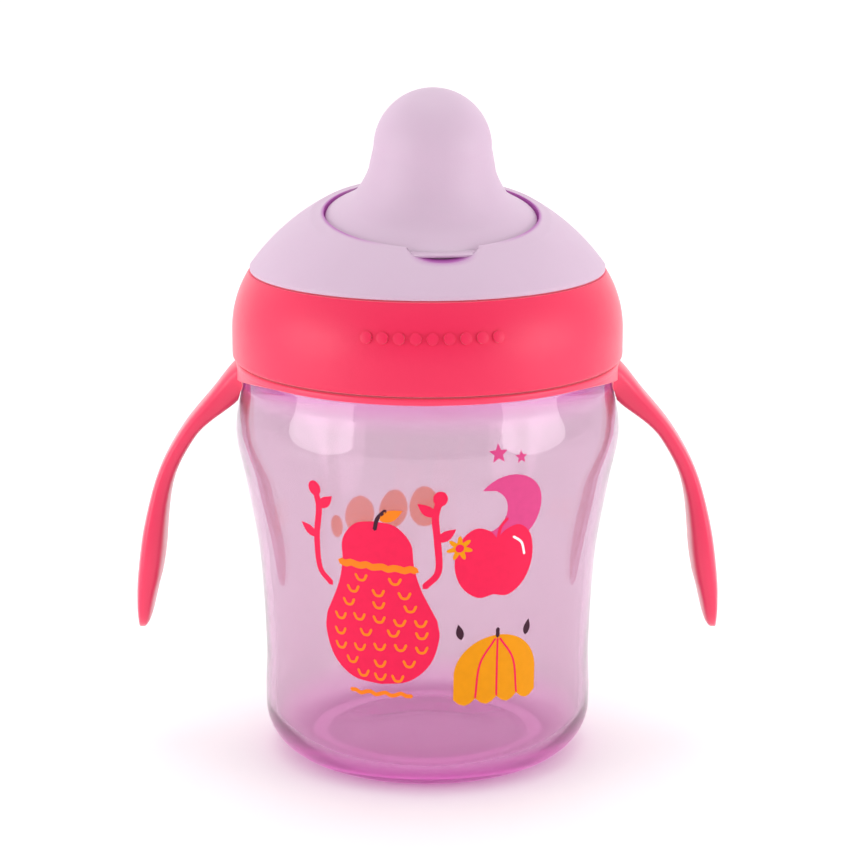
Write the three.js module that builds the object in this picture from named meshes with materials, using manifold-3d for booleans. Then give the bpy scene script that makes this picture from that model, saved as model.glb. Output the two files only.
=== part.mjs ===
// A toddler's training cup: a clear waisted cup, a loose ring with two handles, a screw collar,
// a domed lid with a soft spout and its valves, and a bell-shaped cover over the spout.
// Millimetres, +Z up, the middle of the base at the origin, the front towards -Y.
import * as THREE from "three";
import { mergeVertices } from "three/addons/utils/BufferGeometryUtils.js";
import Module from "manifold-3d";

const wasm = await Module();
wasm.setup();

// ---------------------------------------------------------------- driving dimensions

const GAP = 0.3; // between pieces that touch
const STEPS = 40; // facets round a turned piece
const LID_TURN = 6; // degrees that the lid stands turned from the handles when screwed down
const RAD = Math.PI / 180;

// The cup.
const CUP_FOOT_R = 32.05; // side of the base, above its rounded corner
const CUP_CORNER = 9;
const CUP_WAIST_R = 31.9;
const CUP_WAIST_Z = 22;
const CUP_SHOULDER_R = 37;
const CUP_SHOULDER_DROP = 12.1; // from the ledge down to the widest point
const CUP_LEDGE_R = 35.2; // ledge that the handle ring lies on
const CUP_LEDGE_Z = 76.6;
const CUP_LEDGE = 3; // width of the ledge
const NECK_LENGTH = 13.4;
const CUP_WALL = 1.8;
const CUP_FLOOR = 3;
const CUP_RECESS_R = 16; // shallow hollow under the base
const CUP_RECESS = 0.8;
const NECK_WALL = 1.9;

// The screw thread: three starts, each a short rib.
const THREAD_STARTS = 3;
const THREAD_LEAD = 12;
const THREAD_SPAN = 150; // degrees that one rib runs
const THREAD_DEPTH = 1.3;
const THREAD_WIDTH = 1.5;
const THREAD_START = 4; // from the ledge up to the lower end of a neck rib

// The handle ring.
const RING_OVER = 1.6; // how far the ring stands out past the ledge
const RING_THICK = 1.3;
const WEB_THICK = 0.75; // the web under the ring, on both sides of a handle
const WEB_DROP = 3.4;
const WEB_REACH = 44; // degrees from a handle to the end of its web
const HANDLE_OUT = 20.2; // from the ring's edge to the outside of a handle
const HANDLE_DROP = 53.4; // from the ring down to a handle's tip
const HANDLE_THICK = 3.4;
const HANDLE_TIP = 2.3; // thickness of a handle's tip
const PADDLE_SWELL = 0.9; // extra thickness of the grip, towards the cup
const HANDLE_STEM_W = 9.4;
const PADDLE_W = 13.5;
const PADDLE_END = 11; // length of the rounded end of the grip

// The collar.
const COLLAR_OVER = 0.7; // how far the collar stands out past the ring
const COLLAR_EDGE = 1;
const COLLAR_TOP_ARC = 20.6;
const COLLAR_STRAIGHT = 5.5; // height of its straight side
const COLLAR_LIP = 2.2;
const LIP_HOLD = 1.3; // how far its lip reaches over the lid's flange

// The dome and its snap flange.
const GASKET = 1;
const FLANGE = 1.1;
const FLANGE_INSET = 0.4; // from the outside of the neck in to the flange's edge
const DOME_INSET = 0.2; // from the collar's top edge in to the dome's rim
const DOME_RIM = 0.7;
const DOME_SPHERE = 41.8;
const DOME_WALL = 2;

// The seat of the spout and its cover, turned about an axis that leans forward.
const SEAT_LEAN = 11; // degrees
const COVER_R = 19.9;
const COVER_WALL = 1.6;
const COVER_NECK_R = 11;
const COVER_LENGTH = 24.5; // from the cover's rim to its tip
const COVER_SINK = 1.2; // how far its rim lies below the edge of the dome
const COVER_EDGE = 1.5;
const COVER_FOOT = 2.2; // width of the ring that the cover stands on
const HOLE_TILT = 1; // how much lower the edge of the seat lies at the back than at the front
const SEAT_PLATE = 2;
const BOSS_WALL = 1.4;
const BOSS_HEIGHT = 1;
const TAB_W = 11.6;
const TAB_REACH = 0.8;
const SPOUT_BORE = 5.8;
const SPOUT_WALL = 1.8;
const SPOUT_HEIGHT = 22.5; // above the seat plate
const SPOUT_HOLE_R = 1.6;
const SPOUT_FLANGE = 1.5;
const VALVE_WALL = 1.4;
const VENT_R = 1.1;
const VENT_LIP = 0.8; // how far its head stands out past its stem

// ---------------------------------------------------------------- worked-out places

const CUP_SHOULDER_Z = CUP_LEDGE_Z - CUP_SHOULDER_DROP;
const CUP_RIM_Z = CUP_LEDGE_Z + NECK_LENGTH;
const NECK_R = CUP_LEDGE_R - CUP_LEDGE;
const MOUTH_R = NECK_R - NECK_WALL;
const THREAD_CREST = NECK_R + THREAD_DEPTH;
const THREAD_Z = CUP_LEDGE_Z + THREAD_START;
const RING_BORE = THREAD_CREST + GAP;
const RING_R = CUP_LEDGE_R + RING_OVER;
const RING_Z = CUP_LEDGE_Z + GAP;
const HANDLE_REACH = RING_R + HANDLE_OUT;
const HANDLE_TIP_Z = RING_Z - HANDLE_DROP;
const COLLAR_R = RING_R + COLLAR_OVER;
const COLLAR_BORE = THREAD_CREST + GAP;
const COLLAR_Z = RING_Z + RING_THICK + GAP;
const COLLAR_STRAIGHT_Z = COLLAR_Z + COLLAR_STRAIGHT;
const GASKET_Z = CUP_RIM_Z + GAP;
const FLANGE_Z = GASKET_Z + GASKET + GAP;
const LIP_Z = FLANGE_Z + FLANGE + GAP;
const COLLAR_TOP = LIP_Z + COLLAR_LIP;
const COLLAR_BULGE = Math.sqrt(COLLAR_TOP_ARC ** 2 - (COLLAR_TOP - COLLAR_STRAIGHT_Z) ** 2);
const FLANGE_R = NECK_R - FLANGE_INSET;
const COLLAR_LIP_R = FLANGE_R - LIP_HOLD;
const DOME_SKIRT_R = COLLAR_LIP_R - GAP;
const DOME_R = COLLAR_R - COLLAR_TOP_ARC + COLLAR_BULGE - DOME_INSET;
const DOME_Z = COLLAR_TOP + GAP;
// Centre of the sphere that the dome is part of, below the lid.
const SPHERE_Z = DOME_Z + DOME_RIM - Math.sqrt(DOME_SPHERE ** 2 - DOME_R ** 2);
// Heights along the leaning axis, from the sphere's centre.
const SEAT_R = COVER_R + GAP;
const SEAT_RIM = Math.sqrt(DOME_SPHERE ** 2 - SEAT_R ** 2);
const COVER_RIM = SEAT_RIM - COVER_SINK;
const SEAT = COVER_RIM - COVER_EDGE - GAP;
const BOSS_R = COVER_R - COVER_FOOT - GAP;
const SPOUT_HOLE = SPOUT_BORE + SPOUT_WALL + GAP;

// ---------------------------------------------------------------- shaping helpers

// A closed three.js shape as a solid that can be joined and cut, with its faces outwards.
function solid(geometry) {
  const bare = geometry.index ? geometry.toNonIndexed() : geometry.clone();
  bare.deleteAttribute("normal");
  bare.deleteAttribute("uv");
  const merged = mergeVertices(bare, 1e-4);
  const make = (corners) =>
    new wasm.Manifold(
      new wasm.Mesh({
        numProp: 3,
        vertProperties: merged.attributes.position.array,
        triVerts: new Uint32Array(corners),
      }),
    );
  const corners = Array.from(merged.index.array);
  const made = make(corners);
  return made.volume() < 0 ? make(corners.reverse()) : made;
}

// Turns an outline of [radius, height] points about +Z. An outline that is off the axis closes.
function turned(outline, steps = STEPS) {
  const points = outline.map(([r, z]) => new THREE.Vector2(r, z));
  if (outline[0][0] > 0) points.push(points[0].clone());
  return solid(new THREE.LatheGeometry(points, steps).rotateX(Math.PI / 2));
}

// Points on an arc in the [radius, height] plane, from one angle to another in degrees.
function arc(r, z, radius, from, to, steps) {
  return Array.from({ length: steps + 1 }, (_, i) => {
    const angle = (from + ((to - from) * i) / steps) * RAD;
    return [r + radius * Math.cos(angle), z + radius * Math.sin(angle)];
  });
}

// A smooth line through [radius, height] points.
function smooth(through, steps) {
  const curve = new THREE.SplineCurve(through.map(([r, z]) => new THREE.Vector2(r, z)));
  return curve.getPoints(steps).map((p) => [p.x, p.y]);
}

// An outline pushed out or in sideways.
function widened(outline, by) {
  return outline.map(([r, z]) => [r + by, z]);
}

// A flat outline, [across, up], made thick along its own normal, centred on it.
function slab(outline, thickness) {
  const shape = new THREE.Shape(outline.map(([x, y]) => new THREE.Vector2(x, y)));
  const geometry = new THREE.ExtrudeGeometry(shape, { depth: thickness, bevelEnabled: false });
  return geometry.translate(0, 0, -thickness / 2);
}

// An ellipsoid with the given half sizes, at a place.
function ellipsoid(sizes, place) {
  return solid(new THREE.SphereGeometry(1, 24, 16).scale(...sizes).translate(...place));
}

// One thread rib: a bar wrapped round the axis on a right-hand helix, narrower at its crest.
function threadRib(rootR, crestR, startAngle, startZ) {
  const span = THREAD_SPAN * RAD;
  const bar = new THREE.BoxGeometry(span, THREAD_WIDTH, 1, 15, 1, 1);
  const at = bar.attributes.position;
  for (let i = 0; i < at.count; i += 1) {
    const along = at.getX(i) + span / 2;
    const atCrest = at.getZ(i) > 0;
    const r = atCrest ? crestR : rootR;
    const rise = (THREAD_LEAD * along) / (2 * Math.PI);
    const z = startZ + rise + at.getY(i) * (atCrest ? 0.55 : 1);
    const angle = startAngle + along;
    at.setXYZ(i, r * Math.cos(angle), r * Math.sin(angle), z);
  }
  return solid(bar);
}

// The ribs of all the starts, evenly round the axis.
function thread(rootR, crestR, startAngle, startZ) {
  return Array.from({ length: THREAD_STARTS }, (_, i) =>
    threadRib(rootR, crestR, startAngle + (i * 2 * Math.PI) / THREAD_STARTS, startZ),
  );
}

function joined(first, ...others) {
  return others.reduce((whole, part) => whole.add(part), first);
}

function piece(name, shape, material) {
  const raw = shape.getMesh();
  const geometry = new THREE.BufferGeometry();
  const points = new Float32Array(raw.vertProperties);
  geometry.setAttribute("position", new THREE.BufferAttribute(points, 3));
  geometry.setIndex(new THREE.BufferAttribute(new Uint32Array(raw.triVerts), 1));
  geometry.computeVertexNormals();
  const mesh = new THREE.Mesh(geometry, material);
  mesh.name = name;
  return mesh;
}

function plastic(colour, roughness, extra = {}) {
  return new THREE.MeshStandardMaterial({ color: colour, roughness, metalness: 0, ...extra });
}

// ---------------------------------------------------------------- the cup

// The outside of the cup from its rounded corner up to the ledge.
function cupSide() {
  const corner = arc(CUP_FOOT_R - CUP_CORNER, CUP_CORNER, CUP_CORNER, -90, 0, 4);
  const side = smooth(
    [
      [CUP_FOOT_R, CUP_CORNER + 4],
      [CUP_WAIST_R, CUP_WAIST_Z],
      [CUP_WAIST_R + 1, CUP_WAIST_Z + 17.6],
      [CUP_SHOULDER_R - 1.75, CUP_SHOULDER_Z - 10.3],
      [CUP_SHOULDER_R - 0.1, CUP_SHOULDER_Z - 2.2],
      [CUP_SHOULDER_R - 0.1, CUP_SHOULDER_Z + 2.5],
      [CUP_LEDGE_R + 0.7, CUP_LEDGE_Z - 4.6],
      [CUP_LEDGE_R, CUP_LEDGE_Z - 0.6],
    ],
    13,
  );
  return [...corner, ...side];
}

function cupBody() {
  const outside = cupSide();
  const inside = widened(outside, -CUP_WALL).filter(
    ([, z]) => z > CUP_CORNER && z < CUP_LEDGE_Z - 3,
  );
  const innerCorner = CUP_CORNER - CUP_FLOOR + 1;
  const floorCorner = arc(
    CUP_FOOT_R - CUP_WALL - innerCorner,
    CUP_FLOOR + innerCorner,
    innerCorner,
    0,
    -90,
    3,
  );
  const body = turned([
    [0, CUP_RECESS],
    [CUP_RECESS_R, CUP_RECESS],
    [CUP_RECESS_R + CUP_RECESS, 0],
    ...outside,
    [CUP_LEDGE_R - 0.6, CUP_LEDGE_Z],
    [NECK_R, CUP_LEDGE_Z],
    [NECK_R, CUP_RIM_Z],
    [MOUTH_R, CUP_RIM_Z],
    [MOUTH_R, CUP_LEDGE_Z + 1],
    ...inside.reverse(),
    ...floorCorner,
    [0, CUP_FLOOR],
  ]);
  return joined(body, ...thread(NECK_R - 0.6, THREAD_CREST, 0, THREAD_Z));
}

// ---------------------------------------------------------------- the handle ring

// The line of a handle's outer face, [out, up], from the ring to the start of its round tip.
function handleLine() {
  const tip = HANDLE_TIP_Z + HANDLE_TIP / 2;
  return smooth(
    [
      [RING_R + 0.2, RING_Z + 0.7],
      [HANDLE_REACH - 15.2, RING_Z - 5.4],
      [HANDLE_REACH - 9.4, RING_Z - 12.7],
      [HANDLE_REACH - 4.8, RING_Z - 21],
      [HANDLE_REACH - 1.8, RING_Z - 31.5],
      [HANDLE_REACH - 0.3, RING_Z - 41.3],
      [HANDLE_REACH, tip],
    ],
    18,
  );
}

// A handle seen from the front: its outer line, set inwards for its inner face, with a round tip.
function handleProfile() {
  const outer = handleLine();
  const swellZ = HANDLE_TIP_Z + PADDLE_W;
  const inner = outer.map(([x, z], i) => {
    const [ax, az] = outer[Math.max(i - 1, 0)];
    const [bx, bz] = outer[Math.min(i + 1, outer.length - 1)];
    const length = Math.hypot(bx - ax, bz - az);
    const swell = PADDLE_SWELL * Math.exp(-(((z - swellZ) / PADDLE_W) ** 2));
    const nearTip = Math.max(1 - (z - HANDLE_TIP_Z) / PADDLE_END, 0);
    const thick = HANDLE_THICK + swell - (HANDLE_THICK + swell - HANDLE_TIP) * nearTip;
    return [x + (thick * (bz - az)) / length, z - (thick * (bx - ax)) / length];
  });
  const [tipX, tipZ] = outer[outer.length - 1];
  const tip = arc(tipX - HANDLE_TIP / 2, tipZ, HANDLE_TIP / 2, -20, -160, 5);
  const root = [
    [CUP_SHOULDER_R - 2, CUP_SHOULDER_Z + 6],
    [RING_BORE, RING_Z],
    [RING_BORE, RING_Z + RING_THICK],
    [RING_R - 0.4, RING_Z + RING_THICK],
  ];
  const belowRoot = inner.filter(([x]) => x > CUP_SHOULDER_R - 1);
  return [...outer, ...tip, ...belowRoot.reverse(), ...root];
}

// A handle seen from the side: a narrow stem and a broad paddle with a round end.
function handleWidths() {
  const half = smooth(
    [
      [HANDLE_STEM_W / 2 + 2, RING_Z + RING_THICK + 0.5],
      [HANDLE_STEM_W / 2 + 1.1, RING_Z - 1],
      [HANDLE_STEM_W / 2 + 0.3, RING_Z - 5],
      [HANDLE_STEM_W / 2, RING_Z - 18],
      [HANDLE_STEM_W / 2 + 0.7, RING_Z - 28],
      [PADDLE_W / 2 - 0.3, HANDLE_TIP_Z + PADDLE_END + 4],
      [PADDLE_W / 2, HANDLE_TIP_Z + PADDLE_END],
    ],
    16,
  );
  const end = arc(0, 0, 1, -15, -90, 6).map(([across, up]) => [
    (across * PADDLE_W) / 2,
    HANDLE_TIP_Z + PADDLE_END * (1 + up),
  ]);
  const side = [...half, ...end];
  const other = side.slice(0, -1).map(([w, z]) => [-w, z]);
  return [...side, ...other.reverse()];
}

// The thin webs that hang from the ring and run out on both sides of each handle.
function rootWebs(sideways) {
  const tube = turned([
    [RING_R - WEB_THICK, RING_Z - WEB_DROP],
    [RING_R, RING_Z - WEB_DROP],
    [RING_R, RING_Z + 0.4],
    [RING_R - WEB_THICK, RING_Z + 0.4],
  ]);
  const half = Array.from({ length: 9 }, (_, i) => {
    const across = RING_R * Math.sin(WEB_REACH * RAD * (1 - i / 8));
    return [across, RING_Z - WEB_DROP * (i / 8) ** 1.6];
  });
  const other = half.slice(0, -1).map(([w, z]) => [-w, z]);
  const top = [
    [-half[0][0], RING_Z + 0.5],
    [half[0][0], RING_Z + 0.5],
  ];
  const outline = slab([...half, ...other.reverse(), ...top], 4 * HANDLE_REACH);
  return tube.intersect(solid(outline.applyMatrix4(sideways)));
}

function handleRing() {
  const ring = turned([
    [RING_BORE, RING_Z],
    [RING_R - 0.3, RING_Z],
    [RING_R, RING_Z + 0.3],
    [RING_R, RING_Z + RING_THICK - 0.3],
    [RING_R - 0.3, RING_Z + RING_THICK],
    [RING_BORE, RING_Z + RING_THICK],
  ]);
  const fromFront = slab(handleProfile(), 2 * PADDLE_W).rotateX(Math.PI / 2);
  const sideways = new THREE.Matrix4().makeBasis(
    new THREE.Vector3(0, 1, 0),
    new THREE.Vector3(0, 0, 1),
    new THREE.Vector3(1, 0, 0),
  );
  const fromSide = slab(handleWidths(), 4 * HANDLE_REACH).applyMatrix4(sideways);
  const handle = solid(fromFront).intersect(solid(fromSide));
  const cupRoom = turned([
    [0, 0],
    ...widened(cupSide(), GAP + 0.1),
    [CUP_LEDGE_R - 0.2, RING_Z],
    [RING_BORE, RING_Z],
    [RING_BORE, CUP_RIM_Z],
    [0, CUP_RIM_Z],
  ]);
  const handles = joined(handle, handle.rotate([0, 0, 180]), rootWebs(sideways));
  return joined(ring, handles).subtract(cupRoom);
}

// ---------------------------------------------------------------- the collar

function screwCollar() {
  const arcR = COLLAR_R - COLLAR_TOP_ARC;
  const topAngle = Math.asin((COLLAR_TOP - COLLAR_STRAIGHT_Z) / COLLAR_TOP_ARC) / RAD;
  const collar = turned([
    [COLLAR_BORE, COLLAR_Z],
    ...arc(COLLAR_R - COLLAR_EDGE, COLLAR_Z + COLLAR_EDGE, COLLAR_EDGE, -90, 0, 3),
    ...arc(arcR, COLLAR_STRAIGHT_Z, COLLAR_TOP_ARC, 0, topAngle, 5),
    [COLLAR_LIP_R, COLLAR_TOP],
    [COLLAR_LIP_R, LIP_Z],
    [COLLAR_BORE, LIP_Z],
  ]);
  // Its ribs lie just under the ribs of the neck, so they pull the lid down.
  const ahead = 45 * RAD;
  const start = THREAD_Z + (THREAD_LEAD * ahead) / (2 * Math.PI) - THREAD_WIDTH - GAP;
  const crest = COLLAR_BORE - THREAD_DEPTH;
  return joined(collar, ...thread(COLLAR_BORE + 0.6, crest, ahead, start));
}

// ---------------------------------------------------------------- the lid

function rimGasket() {
  return turned([
    [MOUTH_R + 0.1, GASKET_Z],
    [FLANGE_R, GASKET_Z],
    [FLANGE_R, GASKET_Z + GASKET],
    [MOUTH_R + 0.1, GASKET_Z + GASKET],
  ]);
}

// Puts a solid that is turned about the leaning axis, its heights from the sphere's centre.
function leaned(shape) {
  return shape.rotate([SEAT_LEAN, 0, 0]).translate([0, 0, SPHERE_Z]);
}

function domeLid() {
  const inner = DOME_SPHERE - DOME_WALL;
  const skirtIn = DOME_SKIRT_R - DOME_WALL;
  const outerAngle = Math.acos(DOME_R / DOME_SPHERE) / RAD;
  const innerAngle = Math.acos(skirtIn / inner) / RAD;
  const shell = turned([
    ...arc(0, SPHERE_Z, inner, 90, innerAngle, 5),
    [skirtIn, FLANGE_Z],
    [FLANGE_R, FLANGE_Z],
    [FLANGE_R, FLANGE_Z + FLANGE],
    [DOME_SKIRT_R, FLANGE_Z + FLANGE],
    [DOME_SKIRT_R, DOME_Z],
    [DOME_R, DOME_Z],
    ...arc(0, SPHERE_Z, DOME_SPHERE, outerAngle, 90, 8),
  ].map(([r, z], i, all) => (i === 0 || i === all.length - 1 ? [0, z] : [r, z])));
  const seatRoom = leaned(
    turned([
      [0, SEAT],
      [SEAT_R, SEAT],
      [SEAT_R, DOME_SPHERE + 5],
      [0, DOME_SPHERE + 5],
    ]),
  );
  const plate = leaned(
    turned([
      [SPOUT_HOLE, SEAT - SEAT_PLATE],
      [SEAT_R + DOME_WALL, SEAT - SEAT_PLATE],
      [SEAT_R + DOME_WALL, SEAT + 0.6],
      [SEAT_R, SEAT + 0.6],
      [SEAT_R, SEAT],
      [BOSS_R, SEAT],
      [BOSS_R, SEAT + BOSS_HEIGHT],
      [BOSS_R - BOSS_WALL, SEAT + BOSS_HEIGHT],
      [BOSS_R - BOSS_WALL, SEAT],
      [SPOUT_HOLE, SEAT],
    ]),
  );
  // Room for the tab, and a shallow scoop under it for a fingertip.
  const tabRoom = leaned(
    solid(
      new THREE.BoxGeometry(TAB_W + 2 * GAP, TAB_REACH + 2, 5).translate(
        0,
        -SEAT_R - TAB_REACH / 2 + 1 - GAP,
        SEAT + 2.5,
      ),
    ),
  );
  const fingerScoop = leaned(
    ellipsoid([TAB_W / 2 + 0.6, 4.4, 2.6], [0, -SEAT_R - 0.6, SEAT_RIM + 0.4]),
  );
  // The edge of the seat, cut lower towards the back.
  const backTrim = leaned(
    turned([
      [0, 0],
      [SEAT_R + 6, 0],
      [SEAT_R + 6, 6],
      [0, 6],
    ])
      .rotate([-Math.atan2(HOLE_TILT, 2 * SEAT_R) / RAD, 0, 0])
      .translate([0, 0, SEAT_RIM - HOLE_TILT / 2]),
  );
  const ventHole = leaned(
    solid(
      new THREE.CylinderGeometry(VENT_R + GAP, VENT_R + GAP, 3 * SEAT_PLATE, 16)
        .rotateX(Math.PI / 2)
        .translate(0, ventPlace(), SEAT - SEAT_PLATE / 2),
    ),
  );
  return shell
    .subtract(seatRoom)
    .add(plate)
    .subtract(tabRoom)
    .subtract(fingerScoop)
    .subtract(backTrim)
    .subtract(ventHole)
    .subtract(ventRoom());
}

// How far behind the spout the vent stands: midway between its flange and the boss.
function ventPlace() {
  return (spoutFlangeR() + BOSS_R - BOSS_WALL) / 2;
}

// Room for the vent's two heads, cut from whatever stands close to it above and below the plate.
function ventRoom() {
  const reach = VENT_R + VENT_LIP + GAP;
  const deep = 4;
  const room = (low) =>
    solid(
      new THREE.CylinderGeometry(reach, reach, deep, 24)
        .rotateX(Math.PI / 2)
        .translate(0, ventPlace(), low + deep / 2),
    );
  const above = room(SEAT + GAP / 2);
  const below = room(SEAT - SEAT_PLATE - GAP / 2 - deep);
  return leaned(above.add(below));
}

function spoutFlangeR() {
  return SPOUT_HOLE + 3.2;
}

function softSpout() {
  const top = SEAT + GAP;
  const under = SEAT - SEAT_PLATE - GAP;
  const tip = SEAT + SPOUT_HEIGHT;
  const tipR = SPOUT_BORE + SPOUT_WALL - 1;
  return leaned(
    turned(
      [
        [SPOUT_BORE, under - SPOUT_FLANGE],
        [SPOUT_HOLE + 2, under - SPOUT_FLANGE],
        [SPOUT_HOLE + 2, under],
        [SPOUT_HOLE - GAP, under],
        [SPOUT_HOLE - GAP, top],
        [spoutFlangeR(), top],
        [spoutFlangeR(), top + SPOUT_FLANGE],
        [SPOUT_HOLE + 0.6, top + SPOUT_FLANGE + 1],
        [tipR + 0.4, tip - 9],
        ...arc(tipR - 4.5, tip - 4.5, 4.5, 0, 90, 5),
        [SPOUT_HOLE_R, tip],
        [SPOUT_HOLE_R, tip - SPOUT_WALL],
        [tipR - 4.5, tip - SPOUT_WALL],
        [tipR - SPOUT_WALL, tip - 4.5],
        [SPOUT_BORE, top + 4],
      ],
      32,
    ),
  ).subtract(ventRoom());
}

// A soft cup pushed up the spout, closed by a thin skin with a slit.
function spillValve() {
  const under = SEAT - SEAT_PLATE - 2 * GAP - SPOUT_FLANGE;
  const outer = SPOUT_BORE - GAP;
  const inner = outer - VALVE_WALL;
  const skin = under + 3;
  const body = turned(
    [
      [0, skin],
      [inner, skin - 0.8],
      [inner, under - SPOUT_FLANGE],
      [SPOUT_HOLE + 1, under - SPOUT_FLANGE],
      [SPOUT_HOLE + 1, under],
      [outer, under],
      [outer, under + 6],
      [inner, under + 6],
      [inner, skin + 0.3],
      [0, skin + 1.1],
    ],
    32,
  );
  const slit = solid(new THREE.BoxGeometry(inner, 0.4, 4).translate(0, 0, skin));
  return leaned(body.subtract(slit));
}

// A mushroom-shaped plug that lets air in through the seat plate.
function airVent() {
  const under = SEAT - SEAT_PLATE - GAP;
  const top = SEAT + GAP;
  const plug = turned(
    [
      [0, under - 0.8],
      [VENT_R + VENT_LIP, under - 0.8],
      [VENT_R + VENT_LIP, under],
      [VENT_R, under],
      [VENT_R, top],
      [VENT_R + VENT_LIP, top],
      [VENT_R + 0.4, top + 0.7],
      [0, top + 1],
    ],
    16,
  );
  return leaned(plug.translate([0, ventPlace(), 0]));
}

// The outside of the cover, [radius, height], from its rim to its tip.
function coverOutside() {
  const capR = COVER_NECK_R;
  const capH = COVER_RIM + COVER_LENGTH - capR;
  return [
    ...smooth(
      [
        [COVER_R, COVER_RIM],
        [COVER_R - 2.4, COVER_RIM + 1.45],
        [COVER_NECK_R + 4.2, COVER_RIM + 3.1],
        [COVER_NECK_R + 2.6, COVER_RIM + 5.2],
        [COVER_NECK_R + 1.1, COVER_RIM + 8.3],
        [COVER_NECK_R + 0.5, COVER_RIM + 11],
        [COVER_NECK_R, capH],
      ],
      11,
    ),
    ...arc(0, capH, capR, 8, 90, 6),
  ].map(([r, h], i, all) => (i === all.length - 1 ? [0, h] : [r, h]));
}

function spoutCover() {
  const base = SEAT + GAP;
  const outside = coverOutside();
  const inside = outside
    .map(([r, h], i) => {
      const [ar, ah] = outside[Math.max(i - 1, 0)];
      const [br, bh] = outside[Math.min(i + 1, outside.length - 1)];
      const length = Math.hypot(br - ar, bh - ah);
      return [r - (COVER_WALL * (bh - ah)) / length, h + (COVER_WALL * (br - ar)) / length];
    })
    .filter(([r]) => r > 0.5 && r < BOSS_R);
  const top = outside[outside.length - 1][1] - COVER_WALL;
  const bell = turned([
    [0, top],
    ...inside.reverse(),
    [BOSS_R + GAP, COVER_RIM - 0.4],
    [BOSS_R + GAP, base],
    [COVER_R, base],
    ...outside,
  ]);
  const tab = solid(
    new THREE.BoxGeometry(TAB_W, TAB_REACH + 2, 1.4).translate(
      0,
      -COVER_R - TAB_REACH / 2 + 0.6,
      COVER_RIM - 0.55,
    ),
  );
  return leaned(joined(bell, tab));
}

// ---------------------------------------------------------------- assembly

const clearLilac = plastic(0xd6bcd0, 0.12, { transparent: true, opacity: 0.5 });
const coral = plastic(0xf8385f, 0.38);
const lilac = plastic(0xdec6da, 0.5);
const silicone = plastic(0xf0ece8, 0.45, { transparent: true, opacity: 0.8 });

const cup = new THREE.Group();
cup.add(piece("cup_body", cupBody(), clearLilac));
cup.add(piece("handle_ring", handleRing(), coral));
cup.add(piece("screw_collar", screwCollar(), coral));
cup.add(piece("rim_gasket", rimGasket(), silicone));

const lid = new THREE.Group();
lid.rotation.z = LID_TURN * RAD;
lid.add(piece("dome_lid", domeLid(), lilac));
lid.add(piece("soft_spout", softSpout(), silicone));
lid.add(piece("spill_valve", spillValve(), silicone));
lid.add(piece("air_vent", airVent(), silicone));
lid.add(piece("spout_cover", spoutCover(), lilac));
cup.add(lid);

export default cup;
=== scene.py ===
"""A toddler's training cup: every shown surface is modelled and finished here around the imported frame.

Sizes are millimetres until a piece is handed over, and the front of the cup faces -Y.
"""

import math

import bmesh
import bpy
from mathutils import Matrix, Vector


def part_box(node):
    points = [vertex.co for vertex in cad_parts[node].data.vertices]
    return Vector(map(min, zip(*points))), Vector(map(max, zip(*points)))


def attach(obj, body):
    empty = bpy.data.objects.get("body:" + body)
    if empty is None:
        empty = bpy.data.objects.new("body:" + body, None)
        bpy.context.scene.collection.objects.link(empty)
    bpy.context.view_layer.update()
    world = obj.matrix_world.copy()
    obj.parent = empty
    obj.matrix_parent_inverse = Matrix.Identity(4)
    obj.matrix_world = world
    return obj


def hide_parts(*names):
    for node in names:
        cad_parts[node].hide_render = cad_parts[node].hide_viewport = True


bl_info = {
    "name": "Training Cup",
    "version": (1, 0, 0),
    "blender": (4, 5, 0),
    "location": "3D View > Sidebar > Training Cup",
    "description": "Makes a clear training cup with a handle ring, a screw collar and a covered spout",
    "category": "Add Mesh",
}

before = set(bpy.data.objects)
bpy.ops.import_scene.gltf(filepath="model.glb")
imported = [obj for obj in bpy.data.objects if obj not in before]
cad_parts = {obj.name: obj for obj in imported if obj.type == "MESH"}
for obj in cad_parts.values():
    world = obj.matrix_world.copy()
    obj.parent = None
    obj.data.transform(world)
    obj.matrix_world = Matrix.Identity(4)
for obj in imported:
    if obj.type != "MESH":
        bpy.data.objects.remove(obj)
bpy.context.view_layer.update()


def node_box(node):
    """The lowest and highest corners of a node, in millimetres."""
    low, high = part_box(node)
    return low * 1000, high * 1000


CUP_HIGH = node_box("cup_body")[1]
RING_LOW, RING_HIGH = node_box("handle_ring")
COLLAR_LOW, COLLAR_HIGH = node_box("screw_collar")
DOME_LOW, DOME_HIGH = node_box("dome_lid")
GASKET_LOW, GASKET_HIGH = node_box("rim_gasket")

GAP = 0.3
STEPS = 160  # round a turned piece
SHELL_STEPS = 192  # round the shell of the dome

# The cup, from the frame's own box.
CUP_SHOULDER_R = CUP_HIGH.x
CUP_FOOT_R = 32.05
CUP_WAIST_R = 31.9
CUP_CORNER = 9.0
CUP_RECESS = 0.8
CUP_LEDGE_R = 35.2
CUP_LEDGE_Z = 76.6
CUP_RIM_Z = CUP_HIGH.z
NECK_R = 32.2
MOUTH_R = 30.3
THREAD_DEPTH = 1.3
THREAD_CREST = NECK_R + THREAD_DEPTH
THREAD_Z = 80.6  # where a rib of the neck starts
THREAD_SLACK = 1.8  # how far the collar's ribs hang below the neck's
THREAD_STARTS = 3
THREAD_SPAN = math.radians(150)
THREAD_LEAD = 12.0
LEDGE_PAINTED_GLOW_Z = 70.0  # the painted glow under the ledge starts here
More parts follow.
